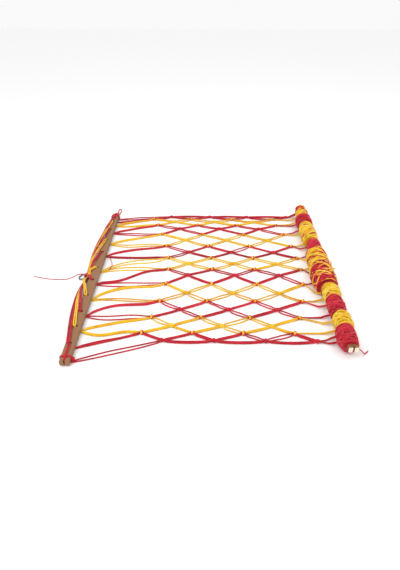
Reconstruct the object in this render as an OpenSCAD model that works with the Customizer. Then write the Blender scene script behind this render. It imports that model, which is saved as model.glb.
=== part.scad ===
// Hand-knotted cord net between two wooden spreader bars, lying flat, with its far part wound on
// one bar. X runs along the net, Y along the bars and Z up; the floor is z = 0.

/* [Spreader bars] */
// Length of each bar
bar_length = 1000; // [820:10:1250]
// Width of a bar, along the net
bar_width = 32; // [26:1:44]
// Height of a bar
bar_height = 20; // [16:1:30]
// Radius of a bar's rounded edges
edge_r = 3; // [1:0.5:6]
// Radius of a cord hole in the bare bar
hole_r = 6; // [5.5:0.25:8]
// Depth of the saw notch in each end of a bar
notch_depth = 10; // [4:1:18]
// Width of that notch
notch_width = 6; // [4:0.5:9]

/* [Net] */
// Distance between the two bars' centre lines
net_length = 905; // [750:5:1150]
// Distance from the bare bar to the first row of knots, in the middle of the net
first_row = 286; // [240:2:330]
// Distance from one row of knots to the next
row_pitch = 90; // [75:1:105]
// How far a row of knots lies back at the net's side edges
row_bow = 100; // [0:5:115]
// Sideways drift of the net's middle line, per unit of length
drift = 0.1; // [-0.15:0.01:0.15]
// Radius of a net cord
cord_r = 2.5; // [2:0.25:3]
// Radius of a knot, seen from above
knot_r = 9; // [8.5:0.25:11]
// Height of a knot
knot_h = 12; // [9:0.5:14]

/* [Roll] */
// Shift of the wound bar along its own length
bar_offset = 45; // [0:5:60]
// Height of the roll's axis above the floor
roll_z = 38; // [34:1:44]
// Radius of the widest winding
widest_r = 48; // [44:1:58]
// Clearance between the bar and the cord wound on it
wind_gap = 0.2; // [0.1:0.05:0.4]

/* [Ring and bridle] */
// Radius of the ring, to the middle of its wire
ring_r = 16.5; // [15.5:0.5:24]
// Radius of the ring's wire
wire_r = 2.5; // [2:0.25:3]
// Distance from the bare bar's centre line to the wire that carries the bridle
ring_x = 35; // [34:1:46]
// Place of the ring along the bar, from the bar's middle
ring_y = -15; // [-60:5:60]
// Radius of a bridle cord
bridle_r = 2.4; // [2:0.1:2.5]

/* [Hidden] */
$fn = 48;
LANES = 11;
GAP = 0.3; // clearance between bodies that move
PANELS = ["left", "middle", "right"];

// Where each cord crosses the bare bar, lies in the net and ends on the roll, from the nearest
// cord to the farthest, as shares of half the bar's length
hole_share = [-0.84, -0.67, -0.51, -0.32, -0.12, 0.05, 0.29, 0.49, 0.69, 0.83, 0.91];
lane_share = [-0.76, -0.61, -0.43, -0.23, 0.01, 0.18, 0.36, 0.57, 0.78, 0.92, 1.02];
band_share = [-0.88, -0.71, -0.57, -0.39, -0.24, 0.04, 0.24, 0.42, 0.71, 0.87, 1.01, 1.08];
edge_share = 0.96;
// Radius of each winding, as a share of the widest
band_size = [0.61, 0.62, 0.65, 0.66, 1.0, 0.9, 0.56, 0.69, 0.62, 0.52, 0.47];
// Where the net folds, as shares of its length
fold_share = [0.42, 0.72];

half_bar = bar_length / 2;
lift = 2 * cord_r + GAP;            // the bare bar lies on its own cords
bar_top = lift + bar_height;
knot_z = knot_h / 2;
roll_edge = net_length - widest_r - 4;
folds = [for (s = fold_share) s * net_length];
bounds = [bar_width / 2, folds[0], folds[1], roll_edge];
knot_clear = knot_r + 4;            // a knot's middle stays this far from a fold
spread = cord_r + 0.7;              // half the distance between a lane's cords at the bar
hole_wall = max(hole_r, spread + cord_r + GAP); // a hole always takes both of its cords
beside = cord_r + 0.35;             // half the distance between two cords at a knot
knot_stop = knot_r + 0.6;           // a cord ends this far from the middle of a knot
bulge = 0.18;                       // how far the first, slack stretch of a cord swings aside
bend_share = 0.4;                   // where on that stretch it swings widest
bend_gap = 0.6;                     // a cord's two straight halves stop this far from its bend
bow_half = 0.92 * half_bar;         // half width over which row_bow is measured

hitch_r = 10.5;
hitch_bore_r = 6;
hitch_w = 18;
ring_z = hitch_r;
ring_tilt = asin((ring_z - wire_r) / (2 * ring_r));
slot_r = 8.2;                       // distance of the bridle cords from the ring's wire
slot_angles = [-105, -65, -25, 15]; // of the four outer cords on each side, outermost first
bridle_bead = 1.1 * bridle_r;       // radius at a bend and at the end of a bridle cord
bridle_z = bar_top + bridle_bead + GAP;
climb_shares = [0.77, 0.71, 0.67, 0.63, 0.5]; // share of its way at which a cord meets the bar

// The frame's origin is the middle of the object's outline, on the floor
left_end = -ring_x - 2 * ring_r * cos(ring_tilt) - wire_r;
mid_x = (left_end + net_length + widest_r) / 2;
mid_y = bar_offset / 2;

RED = "crimson";
GOLD = "goldenrod";
WOOD = "peru";
function lane_color(i) = i % 2 == 0 ? RED : GOLD;

function hole_y(i) = hole_share[i] * half_bar;
function lane_y(i) = lane_share[i] * half_bar;
function row_y(i) = (lane_y(i) + lane_y(i + 1)) / 2;
function band_lo(i) = band_share[i] * half_bar;
function band_hi(i) = band_share[i + 1] * half_bar;

// A knot that would lie on a fold is moved clear of it
function clear_of(x, fold) = abs(x - fold) >= knot_clear ? x
    : fold + (x < fold ? -knot_clear : knot_clear);
function bowed(c, y) =
    let (x = first_row + c * row_pitch)
    x - row_bow * pow((y - drift * x) / bow_half, 2);
function knot_at(c, y) = [clear_of(clear_of(bowed(c, y), folds[0]), folds[1]), y, knot_z];

// Rows 0, 2, 4... tie a cord to its neighbour, rows 1, 3, 5... tie it to itself
rows = ceil((net_length - first_row) / row_pitch);
function own_knots(i) = [
    for (c = [1 : 2 : rows])
        let (k = knot_at(c, lane_y(i)))
        if (k.x < roll_edge - knot_clear) k
];
function shared_knots(i) = [
    for (c = [0 : 2 : rows])
        let (k = knot_at(c, row_y(i)))
        if (k.x < roll_edge - knot_clear) k
];
function is_edge(i, side) = (i == 0 && side < 0) || (i == LANES - 1 && side > 0);

// Stations of one branch of cord i: side -1 is the near branch, +1 the far one. Each is
// [the point the cord heads for, the middle of the knot there or undef, how far short of the
// point the cord stops where there is no knot]. At a knot the two branches lie side by side.
function knot_stations(i, side) =
    let (row = side < 0 ? i - 1 : i)
    [
        for (c = [0 : rows])
            let (own = c % 2 == 1)
            if (own || !is_edge(i, side))
                let (k = knot_at(c, own ? lane_y(i) : row_y(row)))
                if (k.x < roll_edge - knot_clear) [k + [0, (own ? side : -side) * beside, 0], k]
    ];
function within(v, low, high) = max(low, min(high, v));
function roll_entry_y(i, side, last) =
    let (margin = 8, fan = last[1].y == lane_y(i) ? 14 * side : 0)
    within(last[0].y + fan, band_lo(i) + margin, band_hi(i) - margin);
function start_y(i, side) = is_edge(i, side) ? side * edge_share * half_bar
    : hole_y(i) + side * spread;
function branch(i, side) =
    let (
        knots = knot_stations(i, side),
        start = [bar_width / 2, start_y(i, side), cord_r],
        end = [roll_edge, roll_entry_y(i, side, knots[len(knots) - 1]), knot_z],
        aside = is_edge(i, side) ? 0 : bulge * abs(hole_y(i + side) - hole_y(i)) * side,
        bend = start + bend_share * (knots[0][0] - start) + [0, aside, 0]
    )
    concat([[start, undef, 0]], aside == 0 ? [] : [[bend, undef, bend_gap]], knots,
           [[end, undef, 0]]);

function unit(v) = v / norm(v);
// Where the line from a station along the unit vector d passes the outside of its knot
function leave(s, d, way) =
    s[1] == undef ? s[0] + d * way * s[2]
    : let (m = (s[1] - s[0]) * d, off = norm(s[1] - s[0] - m * d))
    s[0] + d * (m + way * sqrt(knot_stop * knot_stop - off * off));

module in_frame() translate([-mid_x, -mid_y, 0]) children();

// A round bar from p to q
module rod(p, q, r) {
    d = q - p;
    translate(p)
        rotate([0, acos(d.z / norm(d)), atan2(d.y, d.x)])
            cylinder(r = r, h = norm(d));
}

// A cord through the points, with a small bead at each one but the first
module cord_run(points, r, bead) {
    for (k = [1 : len(points) - 1]) {
        rod(points[k - 1], points[k], r);
        translate(points[k]) sphere(r = bead);
    }
}

// The part of a straight cord that lies between x0 and x1, cut square to X
module cord_between(p, q, x0, x1, r) {
    reach = 2 * r;
    step = unit(q - p);
    if (q.x > x0 && p.x < x1) {
        if (p.x > x0 + r && q.x < x1 - r) {
            rod(p, q, r);
        } else {
            a = p.x > x0 + r ? p : p + step * (max(x0 - p.x, 0) / step.x - reach);
            b = q.x < x1 - r ? q : q + step * (min(x1 - q.x, 0) / step.x + reach);
            intersection() {
                rod(a, b, r);
                translate([x0, min(a.y, b.y) - reach, -reach])
                    cube([x1 - x0, abs(b.y - a.y) + 2 * reach, 40 + 2 * reach]);
            }
        }
    }
}

// A wrapped knot: round from above, flat below and on top
module knot(at) {
    translate(at)
        intersection() {
            sphere(r = knot_r);
            cube([3 * knot_r, 3 * knot_r, knot_h], center = true);
        }
}

// Cord i of the net, over one of the three panels between the folds
module net_cord(i, panel) {
    x0 = bounds[panel] + GAP / 2;
    x1 = bounds[panel + 1] - GAP / 2;
    knots = concat(own_knots(i), i < LANES - 1 ? shared_knots(i) : []);
    color(lane_color(i))
        in_frame() {
            for (side = [-1, 1]) {
                stations = branch(i, side);
                for (k = [1 : len(stations) - 1]) {
                    a = stations[k - 1];
                    b = stations[k];
                    d = unit(b[0] - a[0]);
                    cord_between(leave(a, d, 1), leave(b, d, -1), x0, x1, cord_r);
                }
            }
            for (k = knots)
                if (k.x > x0 && k.x < x1)
                    knot(k);
        }
}

module bar_outline() {
    w = bar_width - 2 * edge_r;
    h = bar_height - 2 * edge_r;
    square([bar_width, h], center = true);
    square([w, bar_height], center = true);
    for (x = [-w / 2, w / 2], y = [-h / 2, h / 2])
        translate([x, y]) circle(r = edge_r);
}

// A batten along Y with a saw notch in each end
module batten() {
    difference() {
        rotate([90, 0, 0])
            linear_extrude(height = bar_length, center = true)
                bar_outline();
        for (side = [-1, 1])
            translate([0, side * half_bar, 0])
                cube([notch_width, 2 * notch_depth, 2 * bar_height], center = true);
    }
}

cord_holes = concat([for (i = [0 : LANES - 1]) hole_y(i)],
                    [-edge_share * half_bar, edge_share * half_bar]);

module left_bar() {
    color(WOOD)
        in_frame()
            difference() {
                translate([0, 0, lift + bar_height / 2]) batten();
                for (y = cord_holes)
                    translate([0, y, 0]) cylinder(r = hole_wall, h = 2 * bar_top);
            }
}

module right_bar() {
    color(WOOD)
        in_frame()
            translate([net_length, bar_offset, roll_z]) batten();
}

// The short ends of the net cords that go down through the bare bar and out under it
module hole_cords() {
    color(RED)
        in_frame()
            for (i = [0 : LANES - 1], side = [-1, 1]) {
                y = start_y(i, side);
                translate([0, y, lift]) cylinder(r = cord_r, h = bar_height);
                rod([-cord_r, y, cord_r], [bar_width / 2 - GAP / 2, y, cord_r], cord_r);
            }
}

// One winding: a barrel round the bar, flattened where it lies on the floor
module winding(i) {
    r = widest_r * band_size[i];
    shoulder = 0.3 * (r - norm([bar_width, bar_height]) / 2);
    gap = GAP / 2;
    y0 = band_lo(i) + gap;
    w = band_hi(i) - band_lo(i) - GAP;
    color(lane_color(i))
        in_frame() {
            intersection() {
                translate([net_length, y0, roll_z])
                    rotate([-90, 0, 0])
                        difference() {
                            rotate_extrude()
                                polygon([[0, 0], [r - shoulder, 0], [r, 0.3 * w], [r, 0.7 * w],
                                         [r - shoulder, w], [0, w]]);
                            translate([0, 0, w / 2])
                                cube([bar_width + 2 * wind_gap, bar_height + 2 * wind_gap, 2 * w],
                                     center = true);
                        }
                translate([net_length - widest_r, y0 - w, 0])
                    cube([2 * widest_r, 3 * w, roll_z + widest_r]);
            }
            for (side = [-1, 1]) {
                stations = branch(i, side);
                end = stations[len(stations) - 1][0];
                axis_point = [net_length, end.y, roll_z];
                toward = unit(axis_point - end);
                cord_between(end, axis_point - toward * (r + GAP), roll_edge + GAP / 2,
                             net_length, cord_r);
            }
        }
}

module ring() {
    color("dimgray")
        in_frame()
            translate([-ring_x, ring_y, ring_z])
                rotate([0, -ring_tilt, 0])
                    translate([-ring_r, 0, 0])
                        rotate_extrude()
                            translate([ring_r, 0]) circle(r = wire_r);
}

// The turns of cord that hold the ring's wire
module ring_hitch() {
    color(RED)
        in_frame()
            translate([-ring_x, ring_y, ring_z])
                rotate([90, 0, 0])
                    difference() {
                        cylinder(r = hitch_r, h = hitch_w, center = true);
                        cylinder(r = hitch_bore_r, h = 2 * hitch_w, center = true);
                    }
}

// Route of bridle cord i from the hitch, up over the bar's edge, to its hole. The three middle
// cords leave the hitch on the side of the bar, and the others leave its two ends.
function bridle_place(i) = min(i, LANES - 1 - i, 4);
function hitch_point(r, a, y) = [-ring_x + r * cos(a), ring_y + y, ring_z + r * sin(a)];
function bridle_start(i) =
    bridle_place(i) == 4
    ? hitch_point(hitch_r + bridle_r + GAP, i == 5 ? 25 : 5, 6.5 * (i - 5))
    : hitch_point(slot_r, slot_angles[bridle_place(i)], sign(i - 5) * (hitch_w / 2 + 0.8));
function bridle_route(i) =
    let (share = climb_shares[bridle_place(i)])
    [
        bridle_start(i),
        [-bar_width / 2 - 2, ring_y + share * (hole_y(i) - ring_y), bridle_z + GAP],
        [0, hole_y(i), bridle_z]
    ];

module bridle(first) {
    color(lane_color(first))
        in_frame()
            for (i = [first : 2 : LANES - 1])
                cord_run(bridle_route(i), bridle_r, bridle_bead);
}

// Loose cords, by hand. Each route starts where the cord leaves the object, and is counted from
// a place that moves with what the cord hangs on.
trailing_route = [
    [-6.5, 10, 5.8], [-7.5, 15, 3.3], [-11, 21, 2], [-18, 25, 2], [-28, 26, 2],
    [-39, 23, 2], [-49, 15, 2], [-57, 5, 2], [-67, -5, 2], [-82, -12, 2], [-100, -14, 2],
    [-120, -14, 2], [-140, -12, 2], [-160, -9, 2], [-180, -4, 2], [-200, 2, 2],
    [-217, 8, 2]
];
dangling_route = [
    [12, -4, 7.1], [16, -17, 7.4], [21, -31, 7.6], [26, -45, 7.6], [31, -58, 7.6],
    [34, -69, 7.6], [35, -81, 7.6], [34, -93, 7.6], [31, -105, 7.6], [28, -116, 7.6]
];
far_loop_route = [
    [0, -14, 28], [4, -5, 28.3], [8, 4, 27], [10, 12, 21], [11, 21, 13], [11, 32, 6],
    [11, 46, 2.5], [12, 62, 2.5], [13, 76, 2.5], [11, 88, 2.5], [5, 94, 2.5], [-1, 88, 2.5],
    [-2, 76, 2.5], [-1, 62, 2.5], [1, 48, 2.5]
];
near_loop_route = [
    [18.2, -4, 36], [25, -5, 30], [32, -5, 23], [38, -4, 16], [42, -1, 10], [46, 3, 5],
    [51, 8, 2.5], [57, 14, 2.5], [62, 20, 2.5]
];
gold_tail_route = [
    [-2.6, -4, 34], [-1, -4, 27], [1, -4, 19], [3, -5, 11], [6, -6, 5], [11, -8, 2.5],
    [18, -11, 2.5]
];
red_tail_route = [
    [-16, 30, 36], [-14, 28, 29], [-12, 25, 22], [-10, 22, 14], [-8, 18, 7], [-5, 11, 2.5],
    [-2, 3, 2.5], [1, -5, 2.5]
];
trailing_from = [-ring_x, ring_y, 0];
dangling_from = [bar_width / 2, hole_y(6), 0];
far_loop_from = [0, half_bar, 0];
near_loop_from = [net_length, band_lo(0), 0];
gold_tail_from = [net_length + widest_r, (band_lo(5) + band_hi(5)) / 2, 0];
red_tail_from = [net_length + widest_r, (band_lo(2) + band_hi(2)) / 2, 0];

// A thin tube swept along a route: a ring of corners at each point, and a cap at each end
module tube(route, from, r, sides = 8) {
    last = len(route) - 1;
    function heading(k) = unit(route[min(k + 1, last)] - route[max(k - 1, 0)]);
    function across(k) = unit(cross([0.1, 0.05, 1], heading(k)));
    function corner(k, j) =
        let (a = across(k), b = cross(heading(k), a), t = 360 * j / sides)
        from + route[k] + r * (cos(t) * a + sin(t) * b);
    corners = [for (k = [0 : last], j = [0 : sides - 1]) corner(k, j)];
    walls = [
        for (k = [0 : last - 1], j = [0 : sides - 1])
            [k * sides + j, k * sides + (j + 1) % sides,
             (k + 1) * sides + (j + 1) % sides, (k + 1) * sides + j]
    ];
    caps = [[for (j = [sides - 1 : -1 : 0]) j], [for (j = [0 : sides - 1]) last * sides + j]];
    in_frame() polyhedron(points = corners, faces = concat(walls, caps), convexity = 6);
}

STRING_R = 1.5;
LOOP_R = 2;
module trailing_string() { color(RED) tube(trailing_route, trailing_from, STRING_R); }
module dangling_string() { color(RED) tube(dangling_route, dangling_from, STRING_R); }
module far_end_loop() { color(RED) tube(far_loop_route, far_loop_from, LOOP_R); }
module near_end_loop() { color(RED) tube(near_loop_route, near_loop_from, LOOP_R); }
module gold_tail() { color(GOLD) tube(gold_tail_route, gold_tail_from, LOOP_R); }
module red_tail() { color(RED) tube(red_tail_route, red_tail_from, LOOP_R); }

function two_digits(i) = str(i < 9 ? "0" : "", i + 1);
function net_cord_name(i, panel) = str("net_cord_", two_digits(i), "_", PANELS[panel]);
function winding_name(i) = str("winding_", two_digits(i));

left_bar();
right_bar();
ring();
ring_hitch();
bridle(0);  // bridle_red
bridle(1);  // bridle_gold
hole_cords();
for (i = [0 : LANES - 1])
    winding(i);
for (i = [0 : LANES - 1], panel = [0 : 2])
    net_cord(i, panel);
trailing_string();
dangling_string();
far_end_loop();
near_end_loop();
gold_tail();
red_tail();
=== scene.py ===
# %% [markdown]
# # A hand-knotted cord net with two spreader bars
# The object is a net of doubled red and golden cords. Every cord leaves a hole in a bare wooden
# bar, is knotted in turn to its neighbour and to itself, and ends on a second bar, on which the
# rest of the net is wound. A fan of slack cords, the bridle, joins the bare bar to a steel ring.
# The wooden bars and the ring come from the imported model. All that is cord is made here.

import math
import random

import bpy
import numpy as np
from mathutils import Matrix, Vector


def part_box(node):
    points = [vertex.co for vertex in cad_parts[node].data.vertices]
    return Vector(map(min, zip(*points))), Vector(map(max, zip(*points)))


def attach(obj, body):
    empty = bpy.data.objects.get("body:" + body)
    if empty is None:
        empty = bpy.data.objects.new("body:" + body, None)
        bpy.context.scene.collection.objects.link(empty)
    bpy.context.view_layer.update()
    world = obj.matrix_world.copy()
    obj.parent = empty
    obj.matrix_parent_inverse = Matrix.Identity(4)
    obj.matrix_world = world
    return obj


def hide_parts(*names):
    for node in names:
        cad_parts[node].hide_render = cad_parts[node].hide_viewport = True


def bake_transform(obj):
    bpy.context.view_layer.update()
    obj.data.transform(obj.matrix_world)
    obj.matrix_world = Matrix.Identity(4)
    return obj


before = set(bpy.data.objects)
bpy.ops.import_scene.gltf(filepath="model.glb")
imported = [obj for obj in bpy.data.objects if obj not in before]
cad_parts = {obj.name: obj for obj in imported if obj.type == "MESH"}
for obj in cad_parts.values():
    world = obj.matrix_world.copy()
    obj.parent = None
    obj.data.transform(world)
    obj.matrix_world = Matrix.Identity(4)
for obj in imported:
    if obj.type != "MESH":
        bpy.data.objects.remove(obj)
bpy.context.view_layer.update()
bpy.ops.object.select_all(action="DESELECT")

# %% [markdown]
# ## The camera
# The camera comes first, because the loose cords are checked against what it sees. It stands in
# front of the net's near edge, about a metre up, and looks down over the whole net.


# %% Camera
def add_camera(place, pitch_down, turn, lens):
    bpy.ops.object.camera_add(
        location=place, rotation=(math.radians(90 - pitch_down), 0, math.radians(turn))
    )
    camera = bpy.context.object
    camera.name = "camera"
    camera.data.lens = lens
    camera.data.clip_start = 0.01
    bpy.context.scene.camera = camera
    return camera


camera = add_camera((-0.008, -1.5095, 1.031), 35.8, 0.67, 28.42)
print("camera at", [round(v, 3) for v in camera.location])

# %% [markdown]
# ## Where things lie
# The net's plan is easier to write from the bare bar's middle line and from the floor, in
# millimetres, as a maker would measure it. One function turns such a place into the frame's
# metres, and the bars' boxes in the model say where that middle line is.

# %% Places in the net
bar_lo, bar_hi = (Vector(v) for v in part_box("left_bar"))
roll_lo, roll_hi = (Vector(v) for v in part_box("right_bar"))
ORIGIN = Vector(((bar_lo.x + bar_hi.x) / 2, (bar_lo.y + bar_hi.y) / 2, 0))
NET_LENGTH = 1000 * ((roll_lo.x + roll_hi.x) / 2 - ORIGIN.x)
ROLL_Z = 500 * (roll_lo.z + roll_hi.z)
BAR_TOP = 1000 * bar_hi.z
BAR_BOTTOM = 1000 * bar_lo.z
HALF_BAR = round(500 * (bar_hi.y - bar_lo.y), 2)
BAR_EDGE = round(500 * (bar_hi.x - bar_lo.x), 2)
WIDEST_R = 48.0  # the fattest winding in the model
ROLL_EDGE = NET_LENGTH - (WIDEST_R + 4)
FOLDS = [0.42 * NET_LENGTH, 0.72 * NET_LENGTH]
CORDS = 11
ROWS = 8  # of knots, more than the net has room for
FIRST_ROW, ROW_PITCH = 286, 90
ROW_BOW, BOW_HALF, DRIFT = 100, 460, 0.1
KNOT_Z = 6.0
KNOT_CLEAR = 13  # from a knot's middle to a fold
STRAND_R = 2.2  # an ordinary strand
SLIM_R = 1.9  # a strand pulled through a hole
BESIDE_HOLE = 3.2  # half the distance between a cord's two branches at its hole
ON_FLOOR = 2.5  # height of a 4 mm cord's middle where it lies on the floor
FULL_TURN = 6.28  # for a start at any angle


def place(x, y, z):
    """A place in millimetres from the bare bar's middle line, in the frame's metres."""
    return (ORIGIN.x + x / 1000, ORIGIN.y + y / 1000, z / 1000)


def mm(*shares):
    return [HALF_BAR * s for s in shares]


HOLES = mm(-0.84, -0.67, -0.51, -0.32, -0.12, 0.05, 0.29, 0.49, 0.69, 0.83, 0.91)
LINES = mm(-0.76, -0.61, -0.43, -0.23, 0.01, 0.18, 0.36, 0.57, 0.78, 0.92, 1.02)
BANDS = mm(-0.88, -0.71, -0.57, -0.39, -0.24, 0.04, 0.24, 0.42, 0.71, 0.87, 1.01, 1.08)
BAND_R = [30, 29, 28, 31, 44, 40, 27, 32, 34, 26, 22.5]
LEAN = [-7, -1, -5, -4, -12, -10, -3, -9, -8, -5, -2]  # the loose windings lean towards the net
END_TIE = 480.0  # where the net's edge cords leave the bare bar


def color_of(i):
    return "red_cord" if i % 2 == 0 else "gold_cord"


def clear_of(x, fold):
    if abs(x - fold) >= KNOT_CLEAR:
        return x
    return fold + (-KNOT_CLEAR if x < fold else KNOT_CLEAR)


def knot_place(row, y):
    """The middle of a knot: the rows bow back towards the net's side edges."""
    x = FIRST_ROW + ROW_PITCH * row
    x -= ROW_BOW * ((y - DRIFT * x) / BOW_HALF) ** 2
    return np.array([clear_of(clear_of(x, FOLDS[0]), FOLDS[1]), y, KNOT_Z])


def row_between(i):
    return (LINES[i] + LINES[i + 1]) / 2


def is_side_edge(i, side):
    return (i == 0 and side < 0) or (i == CORDS - 1 and side > 0)


def hole_place(i, side):
    return side * END_TIE if is_side_edge(i, side) else HOLES[i] + side * BESIDE_HOLE


print("bare bar", 2 * HALF_BAR, "x", 2 * BAR_EDGE, "mm")
print("net", round(NET_LENGTH), "mm long, roll's axis", round(ROLL_Z), "mm up, folds at", FOLDS)

# %% [markdown]
# ## Sweeping a cord
# A cord is a tube round a line. Blender's curves can make one, but a cord that runs on through
# several pieces has to meet itself exactly where the pieces join. So the rings of points are
# worked out along the whole line first, with each ring turned as little as possible from the
# last, and the rings are then shared out between the pieces. The tube gets its own UV map: U goes
# once round the cord and V counts cord thicknesses along it, so the twist has one scale.


# %% Tools for lines and tubes
def smooth_line(points, step=6.0):
    """A soft curve through the points, with places about a step apart."""
    p = np.array(points, float)
    ends = [2 * p[0] - p[1]], [2 * p[-1] - p[-2]]
    q = np.vstack([ends[0], p, ends[1]])
    out = [p[0]]
    for k in range(1, len(q) - 2):
        a, b, c, d = q[k - 1 : k + 3]
        n = max(1, int(round(np.linalg.norm(c - b) / step)))
        square, cube = 2 * a - 5 * b + 4 * c - d, 3 * b - a - 3 * c + d
        for t in np.arange(1, n + 1) / n:
            out.append(0.5 * (2 * b + (c - a) * t + square * t * t + cube * t**3))
    return np.array(out)


def tube_rings(line, radius, sides):
    """Rings of points round a line, and the length run at each ring, in cord thicknesses."""
    line = np.asarray(line, float)
    radius = np.broadcast_to(radius, (len(line),)).astype(float)
    way = np.gradient(line, axis=0)
    way /= np.linalg.norm(way, axis=1)[:, None] + 1e-12
    up = np.array([0.0, 0.0, 1.0]) if abs(way[0][2]) < 0.9 else np.array([1.0, 0.0, 0.0])
    across = np.cross(up, way[0])
    rings = []
    for p, d, r in zip(line, way, radius):
        across = across - d * (across @ d)
        across /= np.linalg.norm(across)
        over = np.cross(d, across)
        t = 2 * math.pi * np.arange(sides) / sides
        rings.append(p + r * (np.cos(t)[:, None] * across + np.sin(t)[:, None] * over))
    run = np.concatenate([[0], np.cumsum(np.linalg.norm(np.diff(line, axis=0), axis=1))])
    return np.array(rings), run / (2 * float(radius.mean()))


class Bundle:
    """Tubes that are gathered into one piece: rings in, one mesh out."""

    def __init__(self):
        self.corners, self.faces, self.uvs, self.tones = [], [], [], []
        self.count = 0

    def add(self, rings, run, tone, caps=(True, True)):
        n, sides = rings.shape[:2]
        base = self.count
        self.corners.append(rings.reshape(-1, 3))
        self.count += n * sides
        for k in range(n - 1):
            for j in range(sides):
                a, b = base + k * sides + j, base + k * sides + (j + 1) % sides
                self.faces.append((a, b, b + sides, a + sides))
                u0, u1 = j / sides, (j + 1) / sides
                self.uvs += [(u0, run[k]), (u1, run[k]), (u1, run[k + 1]), (u0, run[k + 1])]
                self.tones.append(tone)
        for k, wanted in ((0, caps[0]), (n - 1, caps[1])):
            if wanted:
                order = range(sides - 1, -1, -1) if k == 0 else range(sides)
                self.faces.append(tuple(base + k * sides + j for j in order))
                self.uvs += [(j / sides, run[k]) for j in order]
                self.tones.append(tone)

    def cord(self, line, radius, sides=6, tone=0.5):
        rings, run = tube_rings(line, radius, sides)
        self.add(rings, run, tone=tone)

    def make(self, name, material):
        """One mesh object in the frame's metres, with its UV map and each cord's tone."""
        corners = np.vstack(self.corners) / 1000 + np.array(ORIGIN)
        mesh = bpy.data.meshes.new(name)
        mesh.from_pydata(corners.tolist(), [], self.faces)
        layer = mesh.uv_layers.new(name="along_cord")
        layer.data.foreach_set("uv", np.array(self.uvs, np.float32).ravel())
        tone = mesh.attributes.new("tone", "FLOAT", "FACE")
        tone.data.foreach_set("value", np.array(self.tones, np.float32))
        mesh.polygons.foreach_set("use_smooth", [True] * len(mesh.polygons))
        mesh.materials.append(material)
        piece = bpy.data.objects.new(name, mesh)
        bpy.context.scene.collection.objects.link(piece)
        return piece


print("an ordinary strand has a radius of", STRAND_R, "mm")

# %% [markdown]
# ## What the finishes share
# Cord, wood and steel are three materials, and each is a chain of shader nodes. A few helpers
# keep those chains short to write. Soft blotches of tone, which all three have where dye, oil or
# rust took unevenly, are made once as a node group: one coarse noise and one fine one.


# %% Node helpers
def new_material(name):
    material = bpy.data.materials.new(name)
    material.use_nodes = True
    nodes, links = material.node_tree.nodes, material.node_tree.links
    return material, nodes, links, nodes["Principled BSDF"]


def shade_steps(nodes, factor, links, *stops):
    """A colour ramp whose stops are (place, colour)."""
    ramp = nodes.new("ShaderNodeValToRGB")
    while len(ramp.color_ramp.elements) < len(stops):
        ramp.color_ramp.elements.new(0.5)
    for element, (where, color) in zip(ramp.color_ramp.elements, stops):
        element.position = where
        element.color = (*color, 1)
    links.new(factor, ramp.inputs["Fac"])
    return ramp.outputs["Color"]


def math_node(nodes, links, kind, a, b):
    node = nodes.new("ShaderNodeMath")
    node.operation = kind
    for socket, value in zip(node.inputs, (a, b)):
        if hasattr(value, "is_output"):
            links.new(value, socket)
        else:
            socket.default_value = value
    return node.outputs[0]


def mix_colors(nodes, links, factor, a, b, kind="MIX"):
    node = nodes.new("ShaderNodeMix")
    node.data_type = "RGBA"
    node.blend_type = kind
    for socket, value in ((node.inputs[0], factor), (node.inputs[6], a), (node.inputs[7], b)):
        if hasattr(value, "is_output"):
            links.new(value, socket)
        else:
            socket.default_value = value
    return node.outputs[2]


def make_blotch_group():
    group = bpy.data.node_groups.new("soft_blotches", "ShaderNodeTree")
    number = "NodeSocketFloat"
    for name, value in (("Coarse", 12.0), ("Fine", 90.0)):
        socket = group.interface.new_socket(name=name, in_out="INPUT", socket_type=number)
        socket.default_value = value
    group.interface.new_socket(name="Blotch", in_out="OUTPUT", socket_type=number)
    group.interface.new_socket(name="Grit", in_out="OUTPUT", socket_type=number)
    nodes, links = group.nodes, group.links
    inside, outside = nodes.new("NodeGroupInput"), nodes.new("NodeGroupOutput")
    where = nodes.new("ShaderNodeTexCoord")
    for name, out, detail in (("Coarse", "Blotch", 3.0), ("Fine", "Grit", 6.0)):
        noise = nodes.new("ShaderNodeTexNoise")
        noise.inputs["Detail"].default_value = detail
        links.new(where.outputs["Object"], noise.inputs["Vector"])
        links.new(inside.outputs[name], noise.inputs["Scale"])
        links.new(noise.outputs["Fac"], outside.inputs[out])
    return group


BLOTCHES = make_blotch_group()


def blotches(nodes, coarse, fine):
    node = nodes.new("ShaderNodeGroup")
    node.node_tree = BLOTCHES
    node.inputs["Coarse"].default_value = coarse
    node.inputs["Fine"].default_value = fine
    return node


print("node group:", BLOTCHES.name)
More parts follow.
